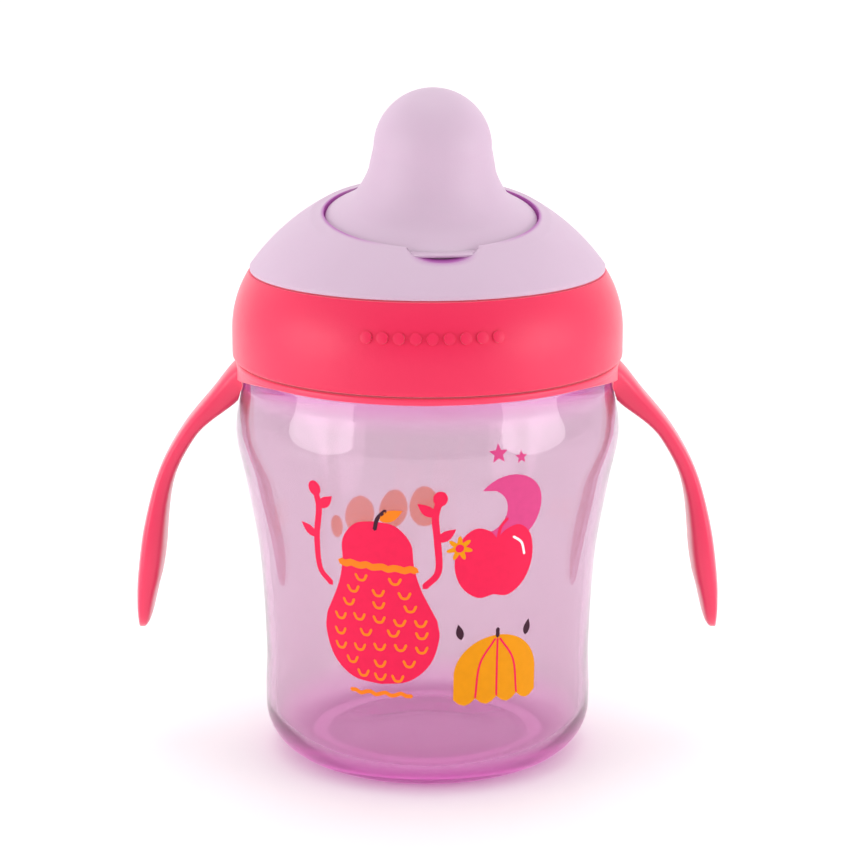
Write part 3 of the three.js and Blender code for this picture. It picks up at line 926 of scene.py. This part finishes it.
def rooted(bm):
    """Bends the root of a handle round the ring and keeps it clear of the cup."""
    for v in bm.verts:
        bend = min(max((RING_R + 5 - v.co.x) / 5, 0), 1)
        v.co.x -= bend * v.co.x * (1 - math.cos(v.co.y / v.co.x))
        free = side_radius(min(v.co.z, CUP_LEDGE_Z - 0.7)) + GAP
        out = math.hypot(v.co.x, v.co.y)
        if v.co.z < RING_TOP - RING_THICK and out < free:
            v.co.x *= free / out
            v.co.y *= free / out


def handle(settings):
    """One handle on the +X side: rounded sections swept down its line."""
    line = handle_line()
    bm = bmesh.new()
    ring = bmesh.ops.create_circle(bm, cap_ends=False, segments=40, radius=1)["verts"]
    for v in ring:
        c, s = v.co.x, v.co.y
        v.co.x = math.copysign(abs(c) ** 0.62, c)
        v.co.y = math.copysign(abs(s) ** 0.5, s)
    loop = list({e for v in ring for e in v.link_edges})
    last = Matrix()
    for i in range(FIRST_POINT, len(line)):
        x, z = line[i]
        on = Vector(line[min(i + 1, len(line) - 1)])
        along = (on - Vector(line[i - 1])).normalized()
        width, thick = handle_section(settings, i, z)
        across = Vector((along.y, 0, -along.x)) * thick / 2
        centre = Vector((x, 0, z)) + across
        place = Matrix(
            (
                (0, across.x, along.x, centre.x),
                (width / 2, 0, 0, 0),
                (0, across.z, along.y, centre.z),
                (0, 0, 0, 1),
            )
        )
        if i > FIRST_POINT:
            pulled = bmesh.ops.extrude_edge_only(bm, edges=loop)["geom"]
            ring = [g for g in pulled if isinstance(g, bmesh.types.BMVert)]
            loop = [g for g in pulled if isinstance(g, bmesh.types.BMEdge)]
        bmesh.ops.transform(bm, matrix=place @ last.inverted(), verts=ring)
        last = place
    bmesh.ops.holes_fill(bm, edges=[e for e in bm.edges if e.is_boundary], sides=0)
    rooted(bm)
    return closed(bm)


def root_web():
    """The thin web that hangs from the ring and runs out on both sides of a handle's root."""
    top = RING_TOP - 0.5
    inner, face, outer = RING_R - WEB_THICK, RING_R - 0.3, RING_R - 0.05
    bm = bmesh.new()
    corners = [(inner, -0.7), (face, -0.8), (outer, -0.6), (outer, 0), (inner, 0)]
    verts = [bm.verts.new((r, 0, top + z)) for r, z in corners]
    section = bm.faces.new(verts)
    bmesh.ops.rotate(bm, verts=verts, cent=(0, 0, 0), matrix=Matrix.Rotation(-WEB_REACH, 3, "Z"))
    bmesh.ops.spin(
        bm,
        geom=[section],
        axis=(0, 0, 1),
        cent=(0, 0, 0),
        angle=2 * WEB_REACH,
        steps=48,
        use_merge=False,
    )
    for v in bm.verts:
        if v.co.z < top - 0.3:
            share = 1 - abs(math.atan2(v.co.y, v.co.x)) / WEB_REACH
            v.co.z -= WEB_DROP * max(share, 0) ** 1.6
    return closed(bm)


class TRAINING_CUP_OT_handles(bpy.types.Operator):
    """Make the loose ring with its two handles"""

    bl_idname = "training_cup.handles"
    bl_label = "Handle Ring"

    def execute(self, context):
        settings = context.scene.training_cup_handles
        colours = context.scene.training_cup_colours
        low = RING_TOP - RING_THICK
        bm = spun(
            eased(
                [
                    (RING_BORE, low, 0),
                    (RING_R, low, 0.4),
                    (RING_R, RING_TOP, 0.4),
                    (RING_BORE, RING_TOP, 0.2),
                    (RING_BORE, low + 0.1, 0),
                ]
            )
        )
        for turn in (0, math.pi):
            for part in (handle(settings), root_web()):
                part.transform(Matrix.Rotation(turn, 4, "Z"))
                added(bm, part)
        # The through colour is a painted glow that lightens the whole ring and its handles.
        coral = moulded(
            "coral_handles", colours.coral, 0.34, 0.012, 0.55, 0.1, through=(0.10, 0.028, 0.042)
        )
        handed_over("handles", bm, "handles", coral, ["handle_ring"])
        return {"FINISHED"}


# ------------------------------------------------------------------------- the collar


def collar_radius(z):
    """The radius of the collar's outside at a height."""
    rise = max(z - COLLAR_STRAIGHT_Z, 0)
    return COLLAR_R - COLLAR_ARC + math.sqrt(COLLAR_ARC**2 - rise**2)


def collar_painted_glow_share(nodes):
    """The top of the collar, which shows only as a line under the dome; it gets a painted glow that
    lightens the shade in that gap.
    """
    return nodes.fade(nodes.place()[2], COLLAR_TOP - 0.06, COLLAR_TOP - 0.02)


class TRAINING_CUP_OT_collar(bpy.types.Operator):
    """Make the screw collar"""

    bl_idname = "training_cup.collar"
    bl_label = "Screw Collar"

    def execute(self, context):
        colours = context.scene.training_cup_colours
        top_angle = math.degrees(math.asin((COLLAR_TOP - COLLAR_STRAIGHT_Z) / COLLAR_ARC))
        outline = [(RING_BORE, COLLAR_Z + 0.3), (RING_BORE + 0.3, COLLAR_Z)]
        outline += arc(COLLAR_R - 1, COLLAR_Z + 1, 1, -90, 0, 6)
        outline += arc(COLLAR_R - COLLAR_ARC, COLLAR_STRAIGHT_Z, COLLAR_ARC, 0, top_angle, 18)
        outline += eased(
            [
                outline[-1] + (0,),
                (COLLAR_LIP_R, COLLAR_TOP, 0.3),
                (COLLAR_LIP_R, COLLAR_LIP_Z, 0.3),
                (RING_BORE, COLLAR_LIP_Z, 0.3),
                (RING_BORE, COLLAR_Z + 0.3, 0),
            ]
        )[1:-1]
        bm = spun(outline)
        ahead = math.radians(45)
        start = THREAD_Z + THREAD_LEAD * ahead / math.tau - THREAD_SLACK
        for i in range(THREAD_STARTS):
            turn = ahead + i * math.tau / THREAD_STARTS
            added(bm, thread_rib(RING_BORE + 0.05, RING_BORE - THREAD_DEPTH, turn, start))
        for k in range(DOTS):
            dot = moved(oval(DOT_R, DOT_R), (k - (DOTS - 1) / 2) * DOT_APART, 0)
            raised = wrapped(dot, *DOTS_AT, collar_radius, 0.1, 0.3)
            added(bm, softened(raised, 0.08, 50, 2))
        # Painted glow: the collar's top shows as a line in shade under the dome, and emission lightens
        # it.
        painted_seam = (collar_painted_glow_share, colours.coral, (0.26, 0.004, 0.03, 1))
        coral = moulded("coral_collar", colours.coral, 0.42, 0.012, 0.45, painted_seam=painted_seam)
        handed_over("collar", bm, "collar", coral, ["screw_collar"])
        return {"FINISHED"}


# ------------------------------------------------------------------------- the lid


def edge_ring(bm, radius, matrix):
    """The edges of a new circle."""
    made = bmesh.ops.create_circle(bm, cap_ends=False, segments=SHELL_STEPS, radius=radius, matrix=matrix)
    return list({e for v in made["verts"] for e in v.link_edges})


def pulled_ring(bm, edges, place, old, new):
    """Extrudes a ring of edges from one (radius, height) to another about an axis."""
    made = bmesh.ops.extrude_edge_only(bm, edges=edges)["geom"]
    verts = [g for g in made if isinstance(g, bmesh.types.BMVert)]
    to_axis = place.inverted()
    wider = new[0] / old[0]
    for v in verts:
        local = to_axis @ v.co
        v.co = place @ Vector((local.x * wider, local.y * wider, local.z + new[1] - old[1]))
    return [g for g in made if isinstance(g, bmesh.types.BMEdge)]


def pulled_chain(bm, edges, place, stops):
    """Extrudes a ring through a chain of (radius, height) stops."""
    for old, new in zip(stops, stops[1:]):
        edges = pulled_ring(bm, edges, place, old, new)
    return edges


def bridged(bm, one, other, cuts, radius):
    """Joins two rings, with rows of points between them that lie on a sphere."""
    sides = bmesh.ops.bridge_loops(bm, edges=one + other)["edges"]
    ends = {v for e in one + other for v in e.verts}
    made = bmesh.ops.subdivide_edges(bm, edges=sides, cuts=cuts, use_grid_fill=True)
    rows = {g for g in made["geom_inner"] if isinstance(g, bmesh.types.BMVert)}
    for v in rows - ends:
        v.co = v.co.normalized() * radius


def scooped(bm):
    """Presses the finger scoop into the dome, in front of the cover's tab."""
    to_seat = LEAN.inverted()
    centre = Vector((0, -SEAT_R - 0.7, SEAT_RIM + 0.55))
    half = Vector((TAB_W / 2 + 1.2, 5.6, 2.6))
    for v in bm.verts:
        p = to_seat @ v.co - centre
        flat = (p.x / half.x) ** 2 + (p.y / half.y) ** 2
        inside = flat + (p.z / half.z) ** 2 < 1
        if inside and v.co.length > DOME_SPHERE - 1.0:
            p.z = -half.z * math.sqrt(1 - flat)
            v.co = LEAN @ (p + centre)


def lowered(bm):
    """Lowers the edge of the seat towards its back, and eases the dome into it."""
    to_seat = LEAN.inverted()
    for v in bm.verts:
        p = to_seat @ v.co
        away = (math.hypot(p.x, p.y) - SEAT_R) / 6
        if p.z > COVER_RIM and away < 1:
            back = min(max((p.y / SEAT_R + 1) / 2, 0), 1)
            p.z -= HOLE_TILT * back * (1 - max(away, 0)) ** 2
            v.co = LEAN @ p


def seat_painted_shade_share(nodes):
    """The sides of the seat, where the cover leaves a thin gap, and the finger scoop: where painted
    purple shade and glow go.
    """
    across, out, up = nodes.place(SEATED)
    round_r = (across * across + out * out) ** 0.5
    sides = nodes.fade(round_r, SEAT_R + 0.8, SEAT_R) * nodes.fade(abs(across), 9, 18)
    sides = sides * nodes.fade(round_r, BOSS_R + 1, SEAT_R - 0.5)
    scoop_x = across * (1 / 6.4)
    scoop_y = (out + (SEAT_R + 0.9)) * (1 / 2.9)
    scoop = nodes.fade(scoop_x * scoop_x + scoop_y * scoop_y, 1.0, 0.1)
    return sides + scoop * nodes.fade(up, SEAT + 0.5, SEAT + 1)


class TRAINING_CUP_OT_dome(bpy.types.Operator):
    """Make the domed lid with the leaning seat of the cover"""

    bl_idname = "training_cup.dome"
    bl_label = "Domed Lid"

    def execute(self, context):
        colours = context.scene.training_cup_colours
        bm = bmesh.new()
        level = DOME_Z + DOME_RIM - SPHERE_Z
        rim = edge_ring(bm, DOME_R, Matrix.Translation((0, 0, level)))
        hole = edge_ring(bm, SEAT_R, LEAN @ Matrix.Translation((0, 0, SEAT_RIM)))
        bridged(bm, rim, hole, 26, DOME_SPHERE)
        scooped(bm)
        lowered(bm)
        down = DOME_Z - SPHERE_Z
        flange = FLANGE_Z - SPHERE_Z
        skirt = pulled_chain(
            bm,
            rim,
            Matrix(),
            [
                (DOME_R, level),
                (DOME_R, down),
                (DOME_SKIRT_R, down),
                (DOME_SKIRT_R, flange + FLANGE),
                (FLANGE_R, flange + FLANGE),
                (FLANGE_R, flange),
                (DOME_SKIRT_R - DOME_WALL, flange),
                (DOME_SKIRT_R - DOME_WALL, down),
            ],
        )
        seat = pulled_chain(
            bm, hole, LEAN, [(SEAT_R, SEAT_RIM), (SEAT_R, SEAT_RIM - 0.4), (SEAT_R, SEAT)]
        )
        for v in {v for e in seat for v in e.verts}:
            local = LEAN.inverted() @ v.co
            v.co = LEAN @ Vector((local.x, local.y, SEAT))
        for v in bm.verts:
            local = LEAN.inverted() @ v.co
            at_wall = abs(math.hypot(local.x, local.y) - SEAT_R) < 0.05 and local.z > SEAT - 0.1
            if at_wall and local.y < 0 and abs(local.x) < TAB_W / 2 + GAP:
                v.co = LEAN @ Vector((local.x, local.y - TAB_REACH - GAP, local.z))
        seat = pulled_chain(
            bm,
            seat,
            LEAN,
            [
                (SEAT_R, SEAT),
                (BOSS_R, SEAT),
                (BOSS_R, SEAT + 1),
                (BOSS_R - BOSS_WALL, SEAT + 1),
                (BOSS_R - BOSS_WALL, SEAT),
                (SPOUT_HOLE, SEAT),
                (SPOUT_HOLE, SEAT - SEAT_PLATE),
                (SEAT_R, SEAT - SEAT_PLATE),
            ],
        )
        bridged(bm, skirt, seat, 8, DOME_SPHERE - 3.6)
        bmesh.ops.recalc_face_normals(bm, faces=bm.faces)
        softened(bm, 0.12, 40, 2)
        bm.transform(LID)
        # Painted shade and glow: a darker purple and a purple emission in the seat's side gaps and the
        # finger scoop.
        painted_seam = (seat_painted_shade_share, (0.34, 0.10, 0.33, 1), (0.09, 0.01, 0.08, 1))
        lilac = moulded("lilac_dome", colours.lilac, 0.5, 0.014, subsurface=0.12, painted_seam=painted_seam)
        handed_over("dome", bm, "lid", lilac, ["dome_lid"])
        return {"FINISHED"}


def cover_outside():
    """The outside of the cover, [radius, height], from its rim to its tip."""
    neck = COVER_NECK_R
    cap = COVER_RIM + COVER_LENGTH - neck
    flare = smooth_line(
        [
            (COVER_R, COVER_RIM),
            (COVER_R - 2.4, COVER_RIM + 1.45),
            (neck + 4.2, COVER_RIM + 3.1),
            (neck + 2.6, COVER_RIM + 5.2),
            (neck + 1.1, COVER_RIM + 8.3),
            (neck + 0.5, COVER_RIM + 11),
            (neck, cap),
        ],
        8,
    )
    return flare + arc(0, cap, neck, 4, 90, 22)[:-1] + [(0, cap + neck)]


def inset_line(line, by):
    """A line set in to its left by a wall's thickness."""
    inner = []
    for i, here in enumerate(line):
        back = Vector(line[max(i - 1, 0)])
        on = Vector(line[min(i + 1, len(line) - 1)])
        along = (on - back).normalized()
        inner.append((here[0] - by * along.y, here[1] + by * along.x))
    return inner


class TRAINING_CUP_OT_cover(bpy.types.Operator):
    """Make the bell-shaped cover of the spout"""

    bl_idname = "training_cup.cover"
    bl_label = "Spout Cover"

    def execute(self, context):
        colours = context.scene.training_cup_colours
        base = SEAT + GAP
        outside = cover_outside()
        inside = [p for p in inset_line(outside, COVER_WALL) if 0.5 < p[0] < BOSS_R]
        outline = [(0, outside[-1][1] - COVER_WALL), *reversed(inside)]
        outline += eased(
            [
                inside[0] + (0,),
                (BOSS_R + GAP, COVER_RIM - 0.4, 0.2),
                (BOSS_R + GAP, base, 0.2),
                (COVER_R, base, 0.2),
                (COVER_R, COVER_RIM - 0.05, 0.25),
                outside[2] + (0,),
            ]
        )[1:]
        outline += outside[3:]
        bm = spun(outline)
        tab = bmesh.new()
        bmesh.ops.create_cube(tab, size=1)
        bmesh.ops.scale(tab, vec=(TAB_W, TAB_REACH + 2, 0.6), verts=tab.verts)
        bmesh.ops.translate(
            tab, vec=(0, -COVER_R - TAB_REACH / 2 + 0.6, COVER_RIM - 0.12), verts=tab.verts
        )
        softened(tab, 0.2, 30, 3)
        added(bm, tab)
        bm.transform(SEATED)
        lilac = moulded("lilac_cover", colours.lilac, 0.48, 0.012, subsurface=0.12)
        handed_over("cover", bm, "cover", lilac, ["spout_cover"])
        return {"FINISHED"}


# ------------------------------------------------------------------------- the soft pieces


def spout_outline():
    top = SEAT + GAP
    under = SEAT - SEAT_PLATE - GAP
    tip = SEAT + 22.5
    bore, hole = SPOUT_BORE, SPOUT_HOLE
    tip_r = bore + 0.8
    foot = eased(
        [
            (bore, under - 1.5, 0),
            (hole + 2, under - 1.5, 0.4),
            (hole + 2, under, 0.3),
            (hole - GAP, under, 0.2),
            (hole - GAP, top, 0.2),
            (SPOUT_FLANGE_R, top, 0.3),
            (SPOUT_FLANGE_R, top + 1.5, 0.5),
            (hole + 0.6, top + 2.5, 1.2),
            (tip_r + 0.4, tip - 9, 2),
            (tip_r, tip - 4.5, 0),
        ],
        4,
    )
    inner = eased(
        [
            (1.6, tip, 0),
            (1.6, tip - 1.8, 0.3),
            (tip_r - 3.6, tip - 1.8, 1.2),
            (tip_r - 1.8, tip - 4.5, 1.2),
            (bore, top + 4, 1.5),
            (bore, under - 1.4, 0),
        ],
        4,
    )
    return foot[:-1] + arc(tip_r - 4.5, tip - 4.5, 4.5, 0, 90, 12)[:-1] + inner


def valve_outline():
    under = SEAT - SEAT_PLATE - 2 * GAP - 1.5
    outer = SPOUT_BORE - GAP
    inner = outer - 1.4
    skin = under + 3
    return eased(
        [
            (0, skin, 0),
            (inner, skin - 0.8, 0.4),
            (inner, under - 1.5, 0.3),
            (SPOUT_HOLE + 1, under - 1.5, 0.4),
            (SPOUT_HOLE + 1, under, 0.4),
            (outer, under, 0.3),
            (outer, under + 6, 0.4),
            (inner, under + 6, 0.3),
            (inner, skin + 0.3, 0.4),
            (0, skin + 1.1, 0),
        ]
    )


def vent_outline():
    under = SEAT - SEAT_PLATE - GAP
    top = SEAT + GAP
    return eased(
        [
            (0, under - 0.8, 0),
            (VENT_HEAD_R, under - 0.8, 0.3),
            (VENT_HEAD_R, under, 0.2),
            (VENT_R, under, 0.1),
            (VENT_R, top, 0.1),
            (VENT_HEAD_R, top, 0.2),
            (1.5, top + 0.7, 0.4),
            (0, top + 1, 0),
        ]
    )


class TRAINING_CUP_OT_soft(bpy.types.Operator):
    """Make the spout, the valve, the vent and the gasket"""

    bl_idname = "training_cup.soft"
    bl_label = "Soft Pieces"

    def execute(self, context):
        milky = silicone("milky_silicone", context.scene.training_cup_colours.silicone)
        beside = (SPOUT_FLANGE_R + BOSS_R - BOSS_WALL) / 2
        behind = SEATED @ Matrix.Translation((0, beside, 0))
        gasket = eased(
            [
                (GASKET_HIGH.x - 1.4, GASKET_LOW.z, 0),
                (GASKET_HIGH.x, GASKET_LOW.z, 0.3),
                (GASKET_HIGH.x, GASKET_HIGH.z, 0.3),
                (GASKET_HIGH.x - 1.4, GASKET_HIGH.z, 0.3),
                (GASKET_HIGH.x - 1.4, GASKET_LOW.z + 0.2, 0),
            ]
        )
        pieces = (
            ("spout", spout_outline(), SEATED, "soft_spout"),
            ("valve", valve_outline(), SEATED, "spill_valve"),
            ("vent", vent_outline(), behind, "air_vent"),
            ("gasket", gasket, Matrix(), "rim_gasket"),
        )
        for name, outline, place, node in pieces:
            bm = spun(outline, place, 96)
            handed_over(name, bm, "lid", milky, [node])
        return {"FINISHED"}


# ------------------------------------------------------------------------- the stage


def softbox(name, place, size, power):
    """A soft oval light that faces the cup."""
    light = bpy.data.lights.new(name, "AREA")
    light.shape = "ELLIPSE"
    light.size, light.size_y = size
    light.energy = power
    holder = bpy.data.objects.new(name, light)
    bpy.context.scene.collection.objects.link(holder)
    target = Vector((0, 0, 0.07))
    holder.location = place
    holder.rotation_euler = (target - Vector(place)).to_track_quat("-Z", "Y").to_euler()


def pale_floor(scene):
    """A wide floor, a little pink where the cup's light falls on it."""
    bm = bmesh.new()
    bmesh.ops.create_grid(bm, x_segments=8, y_segments=8, size=40)
    mesh = bpy.data.meshes.new("floor")
    bm.to_mesh(mesh)
    bm.free()
    floor = bpy.data.objects.new("floor", mesh)
    scene.collection.objects.link(floor)
    made, nodes = material_nodes("pale_floor")
    speck = nodes.noise(60)
    nodes.finish(
        {
            "Base Color": nodes.between(speck, (0.95, 0.95, 0.95, 1), (0.97, 0.97, 0.97, 1)),
            "Roughness": 0.6,
            "Specular IOR Level": 0.2,
            "Emission Color": (1.0, 0.62, 0.82, 1),
            "Emission Strength": 0.16,
        }
    )
    mesh.materials.append(made)


def studio_sky(scene):
    """White light that is strongest from above and behind, and weakest from the front."""
    world = bpy.data.worlds.new("studio")
    world.use_nodes = True
    scene.world = world
    sky = Nodes(world.node_tree)
    side, depth, up = sky.apart(sky.add("ShaderNodeTexCoord", output="Generated"))
    above = sky.add("ShaderNodeMath", {"operation": "MAXIMUM"}, {0: up, 1: 0.0})
    strength = 0.155 + 0.30 * abs(side) ** 2 + 0.24 * (depth + 1) ** 1.6 + 0.69 * above
    glow = sky.add("ShaderNodeBackground", {}, {"Color": (1, 1, 1, 1), "Strength": strength})
    out = sky.tree.nodes.new("ShaderNodeOutputWorld")
    sky.wire(out, 0, glow)


class TRAINING_CUP_OT_stage(bpy.types.Operator):
    """Set the pale floor, the soft light and the camera"""

    bl_idname = "training_cup.stage"
    bl_label = "Stage"

    def execute(self, context):
        scene = context.scene
        scene.view_settings.view_transform = "Standard"
        pale_floor(scene)
        studio_sky(scene)
        for name, side in (("left_box", -1), ("right_box", 1)):
            softbox(name, (side * 0.64, -0.28, 0.17), (0.58, 0.3), 1.55)
        softbox("top_box", (0, 0.1, 0.9), (0.7, 0.5), 1.2)
        camera = bpy.data.cameras.new("camera")
        camera.sensor_width = 36
        camera.lens = 106.3
        camera.clip_start = 0.01
        holder = bpy.data.objects.new("camera", camera)
        holder.location = (0, -0.4762, 0.1815)
        holder.rotation_euler = (math.pi / 2 - 0.242, 0, 0)
        scene.collection.objects.link(holder)
        scene.camera = holder
        return {"FINISHED"}


# ------------------------------------------------------------------------- the add-on

STEPS_IN_ORDER = ("body", "print", "handles", "collar", "dome", "cover", "soft", "stage")


class TRAINING_CUP_PT_panel(bpy.types.Panel):
    """The steps of the cup and their settings"""

    bl_label = "Training Cup"
    bl_idname = "TRAINING_CUP_PT_panel"
    bl_space_type = "VIEW_3D"
    bl_region_type = "UI"
    bl_category = "Training Cup"

    def draw(self, context):
        column = self.layout.column()
        for group in SETTINGS:
            settings = getattr(context.scene, group)
            for name in settings.bl_rna.properties.keys():
                if name not in ("rna_type", "name"):
                    column.prop(settings, name)
        for step in STEPS_IN_ORDER:
            column.operator("training_cup." + step)


SETTINGS = {
    "training_cup_cup": CupSettings,
    "training_cup_colours": ColourSettings,
    "training_cup_handles": HandleSettings,
}
CLASSES = (
    CupSettings,
    ColourSettings,
    HandleSettings,
    TRAINING_CUP_OT_body,
    TRAINING_CUP_OT_print,
    TRAINING_CUP_OT_handles,
    TRAINING_CUP_OT_collar,
    TRAINING_CUP_OT_dome,
    TRAINING_CUP_OT_cover,
    TRAINING_CUP_OT_soft,
    TRAINING_CUP_OT_stage,
    TRAINING_CUP_PT_panel,
)


def register():
    for one in CLASSES:
        bpy.utils.register_class(one)
    for name, group in SETTINGS.items():
        setattr(bpy.types.Scene, name, bpy.props.PointerProperty(type=group))


def unregister():
    for name in SETTINGS:
        delattr(bpy.types.Scene, name)
    for one in reversed(CLASSES):
        bpy.utils.unregister_class(one)


def main():
    register()
    for step in STEPS_IN_ORDER:
        getattr(bpy.ops.training_cup, step)()


if __name__ == "__main__":
    main()
